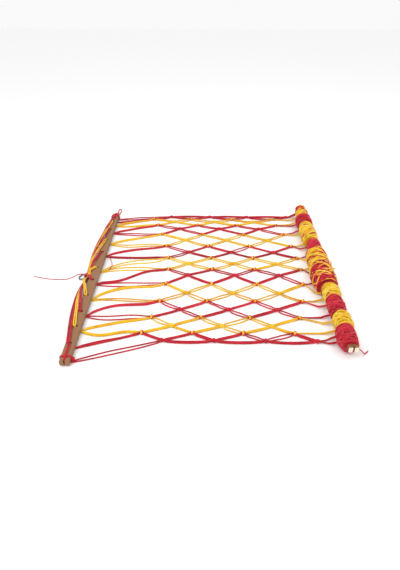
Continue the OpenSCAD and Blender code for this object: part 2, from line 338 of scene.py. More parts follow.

# %% [markdown]
# ## Cord
# The cord is soft twisted cotton: diagonal plies with painted shade in the grooves between them, a
# fine fuzz, and patches that are paler where the dye is thin. An image would need drawing, and noise
# alone has no direction. So the plies come from the tube's own UV map: three of them go round as it
# runs on, and the same arch that paints shade into a groove also lowers it in the bump.


# %% Cord finish
def make_cord_finish(name, deep, plain, pale):
    material, nodes, links, shader = new_material(name)
    uv = nodes.new("ShaderNodeUVMap")
    uv.uv_map = "along_cord"
    split = nodes.new("ShaderNodeSeparateXYZ")
    links.new(uv.outputs["UV"], split.inputs[0])
    turn = math_node(nodes, links, "MULTIPLY", split.outputs["X"], 3.0)
    along = math_node(nodes, links, "MULTIPLY", split.outputs["Y"], 1.15)
    ply = math_node(nodes, links, "FRACT", math_node(nodes, links, "ADD", turn, along), 0.0)
    # a rounded ply: high in its middle, low in the groove
    arch = math_node(nodes, links, "SINE", math_node(nodes, links, "MULTIPLY", ply, math.pi), 0.0)
    fibre = nodes.new("ShaderNodeTexWave")
    fibre.inputs["Scale"].default_value = 3.0
    fibre.inputs["Distortion"].default_value = 2.0
    fibre.inputs["Detail"].default_value = 2.0
    links.new(uv.outputs["UV"], fibre.inputs["Vector"])
    patches = blotches(nodes, 26.0, 700.0)
    tone = nodes.new("ShaderNodeAttribute")
    tone.attribute_name = "tone"
    level = math_node(nodes, links, "MULTIPLY", patches.outputs["Blotch"], 0.5)
    own_tone = math_node(nodes, links, "MULTIPLY", tone.outputs["Fac"], 0.5)
    level = math_node(nodes, links, "ADD", level, own_tone)
    base = shade_steps(nodes, level, links, (0.28, deep), (0.5, plain), (0.74, pale))
    # painted shade: the grooves between the plies are darkened in the colour
    painted_groove_shade = shade_steps(nodes, arch, links, (0.0, (0.42, 0.40, 0.38)), (0.55, (1, 1, 1)))
    base = mix_colors(nodes, links, 0.85, base, painted_groove_shade, "MULTIPLY")
    fuzz = shade_steps(nodes, patches.outputs["Grit"], links, (0.3, (0.82,) * 3), (0.7, (1.1,) * 3))
    base = mix_colors(nodes, links, 0.7, base, fuzz, "MULTIPLY")
    links.new(base, shader.inputs["Base Color"])
    fine = math_node(nodes, links, "MULTIPLY", fibre.outputs["Fac"], 0.25)
    height = math_node(nodes, links, "ADD", arch, fine)
    grit = math_node(nodes, links, "MULTIPLY", patches.outputs["Grit"], 0.3)
    height = math_node(nodes, links, "ADD", height, grit)
    bump = nodes.new("ShaderNodeBump")
    bump.inputs["Strength"].default_value = 0.55
    bump.inputs["Distance"].default_value = 0.0008
    links.new(height, bump.inputs["Height"])
    links.new(bump.outputs["Normal"], shader.inputs["Normal"])
    shader.inputs["Roughness"].default_value = 0.86
    shader.inputs["Specular IOR Level"].default_value = 0.25
    shader.inputs["Sheen Weight"].default_value = 0.25
    shader.inputs["Sheen Roughness"].default_value = 0.5
    return material


RED = (0.34, 0.0, 0.008), (0.62, 0.003, 0.022), (0.80, 0.022, 0.055)
GOLD = (0.80, 0.36, 0.0), (0.97, 0.60, 0.006), (1.0, 0.78, 0.08)
FINISH = {
    "red_cord": make_cord_finish("red_cotton", *RED),
    "gold_cord": make_cord_finish("golden_cotton", *GOLD),
}
print("cord finishes:", sorted(FINISH))

# %% [markdown]
# ## Wood
# The bars are plain battens, oiled dark, with long grain and fine pores, and their edges are lightened
# with a painted highlight. Grain is noise drawn out along the bar. It reads the object's own
# coordinates, so both bars can share one material and still differ. The wound bar's sawn ends were
# never oiled, and a mask on the place along the bar finds them.


# %% Wood finish
def make_wood():
    material, nodes, links, shader = new_material("oiled_batten")
    where = nodes.new("ShaderNodeTexCoord")
    squeeze = nodes.new("ShaderNodeMapping")
    squeeze.inputs["Scale"].default_value = (34.0, 1.6, 34.0)
    links.new(where.outputs["Object"], squeeze.inputs["Vector"])
    grain = nodes.new("ShaderNodeTexNoise")
    grain.inputs["Scale"].default_value = 3.0
    grain.inputs["Detail"].default_value = 8.0
    grain.inputs["Distortion"].default_value = 0.7
    links.new(squeeze.outputs["Vector"], grain.inputs["Vector"])
    rings = nodes.new("ShaderNodeTexWave")
    rings.bands_direction = "X"
    rings.inputs["Scale"].default_value = 1.2
    rings.inputs["Distortion"].default_value = 5.0
    rings.inputs["Detail"].default_value = 4.0
    links.new(squeeze.outputs["Vector"], rings.inputs["Vector"])
    pores_at = nodes.new("ShaderNodeMapping")
    pores_at.inputs["Scale"].default_value = (900.0, 36.0, 900.0)
    links.new(where.outputs["Object"], pores_at.inputs["Vector"])
    pores = nodes.new("ShaderNodeTexNoise")
    pores.inputs["Scale"].default_value = 1.0
    pores.inputs["Detail"].default_value = 3.0
    links.new(pores_at.outputs["Vector"], pores.inputs["Vector"])
    patches = blotches(nodes, 7.0, 160.0)
    base = shade_steps(
        nodes, grain.outputs["Fac"], links,
        (0.30, (0.042, 0.012, 0.003)), (0.50, (0.105, 0.034, 0.009)), (0.72, (0.185, 0.068, 0.019)),
    )
    band = shade_steps(
        nodes, rings.outputs["Fac"], links,
        (0.0, (0.62, 0.58, 0.55)), (0.6, (1.05, 1.03, 1.0)),
    )
    base = mix_colors(nodes, links, 0.6, base, band, "MULTIPLY")
    pit = shade_steps(
        nodes, pores.outputs["Fac"], links,
        (0.33, (0.35, 0.30, 0.27)), (0.45, (1, 1, 1)),
    )
    base = mix_colors(nodes, links, 0.8, base, pit, "MULTIPLY")
    stain = shade_steps(
        nodes, patches.outputs["Blotch"], links,
        (0.35, (0.72, 0.66, 0.62)), (0.65, (1.12, 1.1, 1.08)),
    )
    base = mix_colors(nodes, links, 0.7, base, stain, "MULTIPLY")
    # painted highlight: paler colour along the edges, where the pointiness is high
    edge = nodes.new("ShaderNodeNewGeometry")
    painted_edge_highlight = shade_steps(nodes, edge.outputs["Pointiness"], links, (0.505, (0, 0, 0)), (0.56, (1, 1, 1)))
    base = mix_colors(nodes, links, painted_edge_highlight, base, (0.27, 0.125, 0.052, 1))
    # the wound bar's sawn ends are pale and unoiled
    roll_mid = (roll_hi.y + roll_lo.y) / 2
    split = nodes.new("ShaderNodeSeparateXYZ")
    links.new(where.outputs["Object"], split.inputs[0])
    out = math_node(nodes, links, "SUBTRACT", split.outputs["Y"], roll_mid)
    out = math_node(nodes, links, "ABSOLUTE", out, 0.0)
    skin = 0.0006
    end = math_node(nodes, links, "GREATER_THAN", out, (roll_hi.y - roll_lo.y) / 2 - skin)
    wound_side = math_node(nodes, links, "GREATER_THAN", split.outputs["X"], 0.0)
    end = math_node(nodes, links, "MULTIPLY", end, wound_side)
    sawn = mix_colors(nodes, links, 0.4, (0.86, 0.76, 0.60, 1), band, "MULTIPLY")
    base = mix_colors(nodes, links, end, base, sawn)
    links.new(base, shader.inputs["Base Color"])
    rough = shade_steps(nodes, grain.outputs["Fac"], links, (0.3, (0.62,) * 3), (0.7, (0.42,) * 3))
    links.new(rough, shader.inputs["Roughness"])
    pitted = math_node(nodes, links, "MULTIPLY", pores.outputs["Fac"], 0.8)
    height = math_node(nodes, links, "ADD", grain.outputs["Fac"], pitted)
    bump = nodes.new("ShaderNodeBump")
    bump.inputs["Strength"].default_value = 0.35
    bump.inputs["Distance"].default_value = 0.0006
    links.new(height, bump.inputs["Height"])
    links.new(bump.outputs["Normal"], shader.inputs["Normal"])
    return material


WOOD = make_wood()
print("wood finish:", WOOD.name)

# %% [markdown]
# ## Steel
# The ring is dull, handled steel with specks of tarnish. Where the coarse noise is low the steel
# is darker and less metallic, so that rust reads as a crust and not as brown metal. The fine
# noise makes it rough in specks.


# %% Steel finish
def make_steel():
    material, nodes, links, shader = new_material("dull_steel")
    patches = blotches(nodes, 120.0, 1500.0)
    base = shade_steps(
        nodes, patches.outputs["Blotch"], links,
        (0.35, (0.07, 0.045, 0.03)), (0.5, (0.17, 0.14, 0.12)), (0.68, (0.30, 0.27, 0.25)),
    )
    links.new(base, shader.inputs["Base Color"])
    rough = shade_steps(nodes, patches.outputs["Grit"], links, (0.3, (0.62,) * 3), (0.7, (0.34,) * 3))
    links.new(rough, shader.inputs["Roughness"])
    metal = shade_steps(nodes, patches.outputs["Blotch"], links, (0.38, (0.55,) * 3), (0.5, (1, 1, 1)))
    links.new(metal, shader.inputs["Metallic"])
    bump = nodes.new("ShaderNodeBump")
    bump.inputs["Strength"].default_value = 0.3
    bump.inputs["Distance"].default_value = 0.0003
    links.new(patches.outputs["Grit"], bump.inputs["Height"])
    links.new(bump.outputs["Normal"], shader.inputs["Normal"])
    return material


STEEL = make_steel()


def refinish(node, material):
    """A CAD node keeps its shape and gets a better finish."""
    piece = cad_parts[node]
    piece.data.materials.clear()
    piece.data.materials.append(material)


for bar in ("left_bar", "right_bar"):
    refinish(bar, WOOD)
refinish("ring", STEEL)
print("finishes:", [m.name for m in (*FINISH.values(), WOOD, STEEL)])

# %% [markdown]
# ## The loose cords
# Six cords hang or lie free: one trails from the ring's hitch, one lies on the net, and the
# others are loops and tails at the bars' ends and on the roll. Each is limp and as long as it is
# seen to be, so each is a tube along the very route that its solid in the model has. A route is
# counted from where its cord is tied, so it moves with the bar, the roll or the ring.

# %% Loose cords
TRAIL = [
    (-6.5, 10, 5.8), (-7.5, 15, 3.3), (-11, 21, 2), (-18, 25, 2), (-28, 26, 2), (-39, 23, 2),
    (-49, 15, 2), (-57, 5, 2), (-67, -5, 2), (-82, -12, 2), (-100, -14, 2), (-120, -14, 2),
    (-140, -12, 2), (-160, -9, 2), (-180, -4, 2), (-200, 2, 2), (-217, 8, 2),
]
DANGLE = [
    (12, -4, 7.1), (16, -17, 7.4), (21, -31, 7.6), (26, -45, 7.6), (31, -58, 7.6), (34, -69, 7.6),
    (35, -81, 7.6), (34, -93, 7.6), (31, -105, 7.6), (28, -116, 7.6),
]
FAR_LOOP = [
    (0, -14, 28), (4, -5, 28.3), (8, 4, 27), (10, 12, 21), (11, 21, 13), (11, 32, 6),
    (11, 46, ON_FLOOR), (12, 62, ON_FLOOR), (13, 76, ON_FLOOR), (11, 88, ON_FLOOR),
    (5, 94, ON_FLOOR), (-1, 88, ON_FLOOR),
    (-2, 76, ON_FLOOR), (-1, 62, ON_FLOOR), (1, 48, ON_FLOOR),
]
NEAR_LOOP = [
    (18.2, -4, 36), (25, -5, 30), (32, -5, 23), (38, -4, 16), (42, -1, 10), (46, 3, 5),
    (51, 8, ON_FLOOR), (57, 14, ON_FLOOR), (62, 20, ON_FLOOR),
]
GOLD_TAIL = [
    (-2.6, -4, 34), (-1, -4, 27), (1, -4, 19), (3, -5, 11), (6, -6, 5), (11, -8, ON_FLOOR),
    (18, -11, ON_FLOOR),
]
RED_TAIL = [
    (-16, 30, 36), (-14, 28, 29), (-12, 25, 22), (-10, 22, 14), (-8, 18, 7), (-5, 11, ON_FLOOR),
    (-2, 3, ON_FLOOR), (1, -5, ON_FLOOR),
]


def loose_cord(name, node, route, start, radius, body, slot):
    line = smooth_line([(x + start[0], y + start[1], z) for x, y, z in route], step=3.0)
    bundle = Bundle()
    bundle.cord(line, radius, sides=8)
    piece = bundle.make(name, FINISH[slot])
    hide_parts(node)
    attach(piece, body)


RING_X, RING_Y, RING_Z = -35.0, -15.0, 10.5  # the hitch's middle
STRING_R, LOOSE_R = 1.5, 2.0
RED_SLOT, GOLD_SLOT = "red_cord", "gold_cord"
BEHIND_ROLL = NET_LENGTH + WIDEST_R
loose_cord("cord_trailing_from_ring", "trailing_string", TRAIL, (RING_X, RING_Y), STRING_R,
           "bridle", RED_SLOT)
loose_cord("cord_lying_on_net", "dangling_string", DANGLE, (BAR_EDGE, HOLES[6]), STRING_R,
           "net_left", RED_SLOT)
loose_cord("cord_loop_at_far_end", "far_end_loop", FAR_LOOP, (0, HALF_BAR), LOOSE_R,
           "bare_bar", RED_SLOT)
loose_cord("cord_loop_at_near_end", "near_end_loop", NEAR_LOOP, (NET_LENGTH, BANDS[0]), LOOSE_R,
           "roll", RED_SLOT)
loose_cord("cord_tail_gold", "gold_tail", GOLD_TAIL, (BEHIND_ROLL, 70), LOOSE_R, "roll", GOLD_SLOT)
loose_cord("cord_tail_red", "red_tail", RED_TAIL, (BEHIND_ROLL, -240), LOOSE_R, "roll", RED_SLOT)

# %% [markdown]
# ## The floor and the light
# A pale floor and big soft lights, as in a studio, so that the cord's colours read plainly. A sun
# would throw hard shadows between strands that lie 5 mm apart, so the lights are wide discs and
# the sky does most of the work. The plain view transform keeps reds and golds as saturated as
# the materials state them.


# %% Floor, sky and lights
def add_floor():
    bpy.ops.mesh.primitive_plane_add(size=12, location=(0, 2, -0.0004))
    floor = bpy.context.object
    floor.name = "studio_floor"
    material, _, _, shader = new_material("pale_floor")
    shader.inputs["Base Color"].default_value = (0.97, 0.97, 0.97, 1)
    shader.inputs["Roughness"].default_value = 1.0
    floor.data.materials.append(material)


def add_area_light(name, spot, size, power):
    bpy.ops.object.light_add(type="AREA", location=spot)
    light = bpy.context.object
    light.name = name
    light.data.shape = "DISK"
    light.data.size = size
    light.data.energy = power
    light.rotation_euler = (-Vector(spot)).to_track_quat("-Z", "Y").to_euler()


add_floor()
world = bpy.data.worlds.new("studio")
bpy.context.scene.world = world
world.use_nodes = True
world.node_tree.nodes["Background"].inputs["Color"].default_value = (1, 1, 1, 1)
world.node_tree.nodes["Background"].inputs["Strength"].default_value = 0.95
bpy.context.scene.view_settings.view_transform = "Standard"
add_area_light("key_light", (-1.2, -1.4, 2.6), 2.0, 34)
add_area_light("fill_light", (1.8, 0.6, 2.4), 2.4, 12)
print("stage ready")

# %% [markdown]
# ## The net's strands
# Each cord of the net is doubled, so a branch between two knots is two soft strands that lie on
# the floor, spread a little in the middle and pinch together at the knots. In the long first gap
# beside the bare bar they wander more. A strand is worked out in one go from the hole to the
# roll, and is then cut where the net folds, so that each stretch inside a panel can follow its own
# body.

# %% Zones of the net
BEND = 14  # a strand is soft this far to each side of a fold
ZONES = [  # each with the place along the net where it ends
    ("at_bar", 50.0),
    ("left", FOLDS[0] - BEND),
    ("fold_a", FOLDS[0] + BEND),
    ("middle", FOLDS[1] - BEND),
    ("fold_b", FOLDS[1] + BEND),
    ("right", ROLL_EDGE - BEND),
    ("at_roll", ROLL_EDGE + 3),
    ("roll", math.inf),
]
bundles = {}


def bundle_for(*key):
    return bundles.setdefault(key, Bundle())


def share_out(i, line, radius, tone):
    """Cuts one strand of cord i at the zones' borders and puts the stretches in their bundles."""
    rings, run = tube_rings(line, radius, 6)
    start = 0
    zone_of = [next(zone for zone, limit in ZONES if x <= limit) for x in line[:, 0]]
    for k in range(1, len(line) + 1):
        if k == len(line) or zone_of[k] != zone_of[start]:
            end = min(k, len(line) - 1)
            if end > start:
                bundle_for(i, zone_of[start]).add(
                    rings[start : end + 1], run[start : end + 1], tone,
                    caps=(start == 0, end == len(line) - 1),
                )
            start = k


def stations(i, side):
    """The knots on one branch of cord i, in order, and whether each is the cord's own."""
    row = i - 1 if side < 0 else i
    found = []
    for c in range(ROWS):
        own = c % 2 == 1
        if own or not is_side_edge(i, side):
            k = knot_place(c, LINES[i] if own else row_between(row))
            if k[0] < ROLL_EDGE - KNOT_CLEAR:
                found.append((k, own))
    return found


def band_entry(i, side, last, own):
    """Where along the roll a branch goes in: within its cord's own winding."""
    y = last[1] + (14 * side if own else -side * 2.85)
    return min(max(y, BANDS[i] + 8), BANDS[i + 1] - 8)


print(len(ZONES), "zones, the last knots before", round(ROLL_EDGE - KNOT_CLEAR), "mm")

# %% [markdown]
# ## How the strands lie
# A doubled cord either lies closed, as one flat band, or opens into two thin strands with a lens
# of air between them. No two branches of a hand-made net lie alike, and chance alone would not
# put the slackest ones where they belong. So most of the first stretches, which are seen best,
# have a bow of their own. Further on chance decides, by how often a branch lies closed.


# %% Draw the strands
BAND_OF_CORD = 3.3  # radius where the strands lie side by side, as one flat band
THIN = 2.35  # and where they lie apart, each pulled thin
# how far the first stretch of a branch (cord, side) bows away from its twin, in millimetres
BOW = {
    (0, 1): 0, (1, 1): 8, (1, -1): 12, (2, 1): 24, (2, -1): 2, (3, 1): 32, (3, -1): -6,
    (4, 1): 4, (4, -1): 3, (5, 1): 24, (5, -1): -22, (6, 1): 14, (6, -1): 8,
}
PLAIN_BOW = 6  # where none is given
EDGE_BOW = 6.0  # of the later stretches on the net's side edges
# how far it sways to one side and then to the other
WANDER = {(4, 1): -17, (1, -1): 6, (2, -1): 4, (5, -1): 5, (7, -1): 5, (8, -1): -4}
# the first stretches that lie open
FIRST_APART = {(2, -1), (3, -1), (4, -1), (5, 1), (5, -1), (7, -1), (8, -1)}
# how often a branch lies as one band: where it runs away from the middle of its own cord, and back
AWAY = [0.6, 0.9, 1.0, 0.25, 0.85, 0.1, 0.6, 0.1, 0.9, 0.4, 0.6]
BACK = [0.5, 0.3, 0.1, 0.1, 0.15, 0.1, 0.8, 0.2, 0.7, 0.4, 0.6]


def first_stretch(i, side, strand, here, aim, closed, rng):
    """The slack cord beside the bar: it bows away from its twin branch and may wander."""
    d = aim - here
    d[2] = 0
    out = np.array([0.0, side, 0.0])
    gap = np.linalg.norm(d)
    bow = 0 if is_side_edge(i, side) else BOW.get((i, side), PLAIN_BOW)
    wander = WANDER.get((i, side), rng.uniform(-3, 3))
    phase, wobble = rng.uniform(0, FULL_TURN), rng.uniform(0.4, 1.2)
    apart = 3.0 if closed else rng.uniform(6.0, 13.0)
    r = BAND_OF_CORD if closed else THIN
    points = []
    steps = int(gap / 17)
    for s in range(1, steps):
        t = s / steps
        rise = math.sin(math.pi * min(1.0, t / 0.8) ** 0.75)
        ends = math.sin(math.pi * t) ** 0.6
        shift = bow * rise + wander * math.sin(2 * math.pi * t) * ends
        shift += 0 if closed else wobble * math.sin(9 * t + phase) * ends
        p = here + d * t + out * (shift + side * strand * (2.2 + (apart - 2.2) * ends))
        lift = 2.6 * max(0.0, 1 - 20 * (1 - t))
        points.append((p[0], p[1], r + 0.1 + lift, r))
    return points


def later_stretch(side, edge, strand, here, d, gap, together, rng):
    """The cord between two knots, from here along the unit vector d."""
    spread = rng.uniform(2.7, 3.1) if together else rng.uniform(5.5, 8.5)
    bow = rng.uniform(-1.5, 1.5)
    if edge:
        bow = EDGE_BOW * side
    phase, wobble = rng.uniform(0, FULL_TURN), 0.2 if together else rng.uniform(0.5, 1.6)
    r = BAND_OF_CORD if together else THIN
    beside = np.array([-d[1], d[0], 0])
    points = []
    steps = max(6, int(gap / 15))
    for s in range(1, steps):
        t = s / steps
        ease = math.sin(math.pi * t)
        wide = 2.1 + (spread - 2.1) * ease ** 0.6
        shift = strand * wide + ease * (bow + wobble * math.sin(8 * t + phase))
        near = max(0.0, 1 - min(t, 1 - t) * gap / 20)  # close to a knot it rises and thins
        p = here + d * gap * t + beside * shift
        points.append((p[0], p[1], r + 0.1 + 2.8 * near, r + (STRAND_R - r) * near))
    return points


def into_roll(i, here, y):
    """The last stretch: up to the roll's edge, and in under the winding."""
    reach = min(1.0, 26 / max(1.0, ROLL_EDGE - here[0]))
    points = [(ROLL_EDGE - 13, y + (here[1] - y) * reach, 4.0, STRAND_R),
              (ROLL_EDGE, y + 0.4 * (here[1] - y) * reach, 7.0, STRAND_R)]
    r = BAND_R[i] + 0.5
    for a in (228, 245, 262, 280):
        rad = math.radians(a)
        x = NET_LENGTH + LEAN[i] + r * math.cos(rad)
        points.append((x, y, max(ROLL_Z + r * math.sin(rad), STRAND_R), 2.3))
    return points


def draw_strand(i, side, strand, closed, rng):
    """One of the two strands of one branch, from the bare bar's hole to the roll."""
    hole = hole_place(i, side)
    points = [(-2, hole + 1.1 * strand, 4.9, SLIM_R), (4, hole + 1.6 * strand, 2.6, SLIM_R),
              (16, hole + 2.0 * strand, STRAND_R, STRAND_R)]
    knots = stations(i, side)
    here = np.array([16.0, hole, STRAND_R])
    for n, (k, own) in enumerate(knots):
        aim = k + np.array([0, (side if own else -side) * 1.6, 0])
        d = aim - here
        d[2] = 0
        gap = np.linalg.norm(d)
        d = d / gap
        if n == 0:
            points += first_stretch(i, side, strand, here, aim, closed[n], rng)
        else:
            points += later_stretch(side, is_side_edge(i, side), strand, here, d, gap, closed[n], rng)
        before_y = aim[1] - 4 * d[1] + strand * 1.4
        after_y = aim[1] + strand * 1.4
        points.append((k[0] - 4 * d[0], before_y, KNOT_Z + 1.2 * strand, STRAND_R))
        points.append((k[0] + 4 * d[0], after_y, KNOT_Z - 1.0 * strand, STRAND_R))
        here = aim
    last, own = knots[-1]
    points += into_roll(i, here, band_entry(i, side, here if not own else last, own) + 2.6 * strand)
    drawn = smooth_line(points, step=7.0)
    return drawn[:, :3], np.clip(drawn[:, 3], SLIM_R, BAND_OF_CORD)


def which_lie_closed(i, side, rng):
    """For each stretch of a branch, whether it lies closed."""
    closed = []
    for n in range(ROWS):
        often = AWAY if (side > 0) == (n % 2 == 0) else BACK
        closed.append(rng.random() < often[i])
    closed[0] = (i, side) not in FIRST_APART
    if is_side_edge(i, side):
        closed = [n > 0 for n in range(ROWS)]
    return closed


rng = random.Random(7)
for i in range(CORDS):
    for side in (-1, 1):
        closed = which_lie_closed(i, side, rng)
        tone = rng.uniform(0.25, 0.6)
        for strand in (-1, 1):
            line, radius = draw_strand(i, side, strand, closed, rng)
            share_out(i, line, radius, tone + rng.uniform(-0.1, 0.1))
print("strands drawn in", len(bundles), "bundles")

# %% [markdown]
# ## The knots
# At each crossing the strands go through a small hard knot. An overhand knot is a trefoil pulled
# tight, so a flattened trefoil tube gives its three lobes and the way they tuck under each other.
# A knot that ties two neighbours together also has turns of the other cord's colour round its
# waist, which is why those knots look two-coloured.


# %% Tie the knots
def overhand(middle, size, turn, rng):
    """A trefoil line, flattened, about a place."""
    t = np.linspace(0, 2 * math.pi, 27)
    x = (np.sin(t) + 2 * np.sin(2 * t)) / 3 * size * rng.uniform(0.9, 1.05)
    y = (np.cos(t) - 2 * np.cos(2 * t)) / 3 * size * rng.uniform(0.85, 1.0)
    z = -np.sin(3 * t) * 2.7
    c, s = math.cos(turn), math.sin(turn)
    return np.stack([middle[0] + c * x - s * y, middle[1] + s * x + c * y, middle[2] + z], axis=1)


def waist(middle, radius, length, turns, lean, rng):
    """Turns of cord round a knot's middle, along X, leaning a little."""
    t = np.linspace(0, 1, 11 * turns)
    a = 2 * math.pi * turns * t + rng.uniform(0, 6)  # starts at almost any angle
    return np.stack([
        middle[0] + length * (t - 0.5) + lean * np.sin(a),
        middle[1] + radius * np.cos(a),
        middle[2] + 0.62 * radius * np.sin(a),
    ], axis=1)


def panel_of(x):
    return "left" if x < FOLDS[0] else "middle" if x < FOLDS[1] else "right"


def tie_knot(i, k, own):
    """Lobes of cord i, or of the red one of two neighbours, with turns of the golden one."""
    panel = panel_of(k[0])
    lobes = i if own or i % 2 == 0 else i + 1
    wraps = i if own else 2 * i + 1 - lobes
    turn = rng.uniform(0, FULL_TURN)
    line = overhand(k, 8.0 if own else 9.2, turn, rng)
    # the lobes and the turns round the waist get paler tones than the strands: a painted highlight on
    # the raised knots, over a random spread
    bundle_for(lobes, panel).cord(line, 2.6, tone=rng.uniform(0.3, 0.7))
    line = waist(k, 6.6, rng.uniform(4.5, 6.5), 2, rng.uniform(-2, 2), rng)
    bundle_for(wraps, panel).cord(line, 2.4, tone=rng.uniform(0.35, 0.8))


knots_tied = 0
for i in range(CORDS):
    for c in range(ROWS):
        own = c % 2 == 1
        k = knot_place(c, LINES[i] if own else row_between(min(i, CORDS - 2)))
        if (own or i < CORDS - 1) and k[0] < ROLL_EDGE - KNOT_CLEAR:
            tie_knot(i, k, own)
            knots_tied += 1
print(knots_tied, "knots")

# %% [markdown]
# ## Net pieces
# Every bundle becomes one piece. A stretch inside a panel rides on that panel, and stands for the
# plain cord solids there. A stretch that crosses a fold stays where it is drawn, on neither body.

# %% Make the net pieces
CROSSINGS = {
    "at_bar": ("bare_bar", "net_left", 10, 44),
    "fold_a": ("net_left", "net_middle", FOLDS[0] - 12, FOLDS[0] + 12),
    "fold_b": ("net_middle", "net_right", FOLDS[1] - 12, FOLDS[1] + 12),
    "at_roll": ("net_right", "roll", ROLL_EDGE - 12, ROLL_EDGE),
}


def make_net_piece(i, zone, bundle):
    piece = bundle.make("net_cord_%02d_%s_strands" % (i + 1, zone), FINISH[color_of(i)])
    if zone in CROSSINGS:
        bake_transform(piece)
    else:
        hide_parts("net_cord_%02d_%s" % (i + 1, zone))
        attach(piece, "net_" + zone)


for (i, zone), bundle in sorted(bundles.items()):
    if zone != "roll":
        make_net_piece(i, zone, bundle)
print("net pieces made")

# %% [markdown]
# ## The roll
# The rest of the net is wound on the second bar, one bundle for each cord, so the roll is a row
# of fat bands in turn red and golden. A band is not a smooth barrel: it is many turns of cord
# that cross each other at small angles. A padded core fills its inside, a close layer of turns
# covers the core, and looser turns of both colours lie across them.


# %% Shapes of a winding
CORE_SIDES = 28
TURN_SIDES = 26


def band_radius(i, y):
    """A band is fat in its middle and falls off towards both ends."""
    t = (y - BANDS[i]) / (BANDS[i + 1] - BANDS[i])
    t = min(max(t, 0.0), 1.0)
    shoulder = min(t, 1 - t) / 0.3
    drop = 0.14 * BAND_R[i] * max(0.0, 1 - shoulder) ** 1.5
    return BAND_R[i] - drop


def turn_line(i, y, tilt, extra, rng):
    """One turn round the roll, lumpy, and flattened where it lies on the floor."""
    phase, bumps = rng.uniform(0, FULL_TURN), rng.uniform(0, FULL_TURN)
    lump = rng.uniform(0.4, 1.3)
    axis = NET_LENGTH + LEAN[i]
    line = []
    for a in np.linspace(0, 2 * math.pi, TURN_SIDES + 1) + phase:
        here = min(max(y + tilt * math.sin(a - phase), BANDS[i] + 3), BANDS[i + 1] - 3)
        r = band_radius(i, here) - 2.6 + extra + lump * math.sin(3 * a + bumps)
        line.append((axis + r * math.cos(a), here, max(ROLL_Z + r * math.sin(a), STRAND_R)))
    return np.array(line)


def add_core(i, bundle):
    count = max(5, int((BANDS[i + 1] - BANDS[i]) / 9))
    axis = NET_LENGTH + LEAN[i]
    a = -2 * math.pi * np.arange(CORE_SIDES) / CORE_SIDES
    rings = []
    for y in np.linspace(BANDS[i] + 1.5, BANDS[i + 1] - 1.5, count):
        r = band_radius(i, y) - 5.2
        z = np.maximum(ROLL_Z + r * np.sin(a), 1.0)
        rings.append(np.stack([axis + r * np.cos(a), np.full(CORE_SIDES, y), z], axis=1))
    bundle.add(np.array(rings), np.linspace(0, 12, count), tone=0.0)


print("windings", min(BAND_R), "to", max(BAND_R), "mm in radius")

# %% [markdown]
# ## Winding the roll
# Nobody winds a net neatly: each layer slants another way, and a neighbour's cord strays across.
# So a close layer that slants one way covers the core, and looser turns at random slants lie
# over it. On the windings where the colours are mixed, chance gives some of those to the other
# colour, which becomes a piece of its own, because a piece has one finish.

# %% Wind the roll
# how many of the loose turns are the other colour's, on the windings that have any
MIXED = {4: 0.5, 3: 0.12, 5: 0.25, 10: 0.5, 7: 0.12, 9: 0.2}


def wind_band(i, rng):
    wide = BANDS[i + 1] - BANDS[i]
    mine, other = bundle_for(i, "roll"), bundle_for(i, "roll_other")
    add_core(i, mine)
    slant = rng.choice((-1, 1))
    close = int(wide / 5.0)
    for n in range(close):
        y = BANDS[i] + wide * (n + 0.5) / close
        line = turn_line(i, y, slant * rng.uniform(2, 7), 0.0, rng)
        mine.cord(line, rng.uniform(2.2, 2.7), sides=5, tone=rng.uniform(0.2, 0.7))
    for _ in range(int(wide / 5.5)):
        y = BANDS[i] + wide * rng.uniform(0.08, 0.92)
        lot = other if rng.random() < MIXED.get(i, 0.0) else mine
        way = rng.choice((-slant, -slant, slant))
        tilt = way * rng.uniform(0.1 * wide + 4, 0.32 * wide + 8)
        line = turn_line(i, y, tilt, rng.uniform(1.0, 4.6), rng)
        lot.cord(line, rng.uniform(2.0, 2.8), sides=5, tone=rng.uniform(0.3, 0.9))


for i in range(CORDS):
    wind_band(i, rng)


def make_winding(i):
    piece = bundles[(i, "roll")].make("winding_%02d_turns" % (i + 1), FINISH[color_of(i)])
    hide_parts("winding_%02d" % (i + 1))
    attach(piece, "roll")
    strays = bundles[(i, "roll_other")]
    if strays.count:
        slot = color_of(i + 1)
        across = strays.make("winding_%02d_crossing_turns" % (i + 1), FINISH[slot])
        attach(across, "roll")


for i in range(CORDS):
    make_winding(i)
print("roll wound")

# %% [markdown]
# ## The bridle
# Slack doubled cords run from the ring, up over the bar's edge, to the holes, and each ends on
# the bar's top in a flat loop. The line goes out along one strand, round the loop and back along
# the other, as the cord itself does, so the loop has no seam. The outermost near cord is broader,
# because its strands would otherwise show a gap.


# %% Bridle
SLOT_ANGLES = [-105, -65, -25, 15]  # round the hitch, of the four outer cords on each side
CLIMB = [0.77, 0.71, 0.67, 0.63, 0.5]  # share of its way at which a cord meets the bar


def bridle_start(i):
    n = min(i, CORDS - 1 - i, 4)
    if n == 4:
        a, r, y = math.radians(25 if i == 5 else 5), 13.2, 6.5 * (i - 5)
    else:
        a, r, y = math.radians(SLOT_ANGLES[n]), 8.2, (1 if i > 5 else -1) * 8.5
    start = np.array([RING_X + r * math.cos(a), RING_Y + y, RING_Z + r * math.sin(a)])
    return start, CLIMB[n]


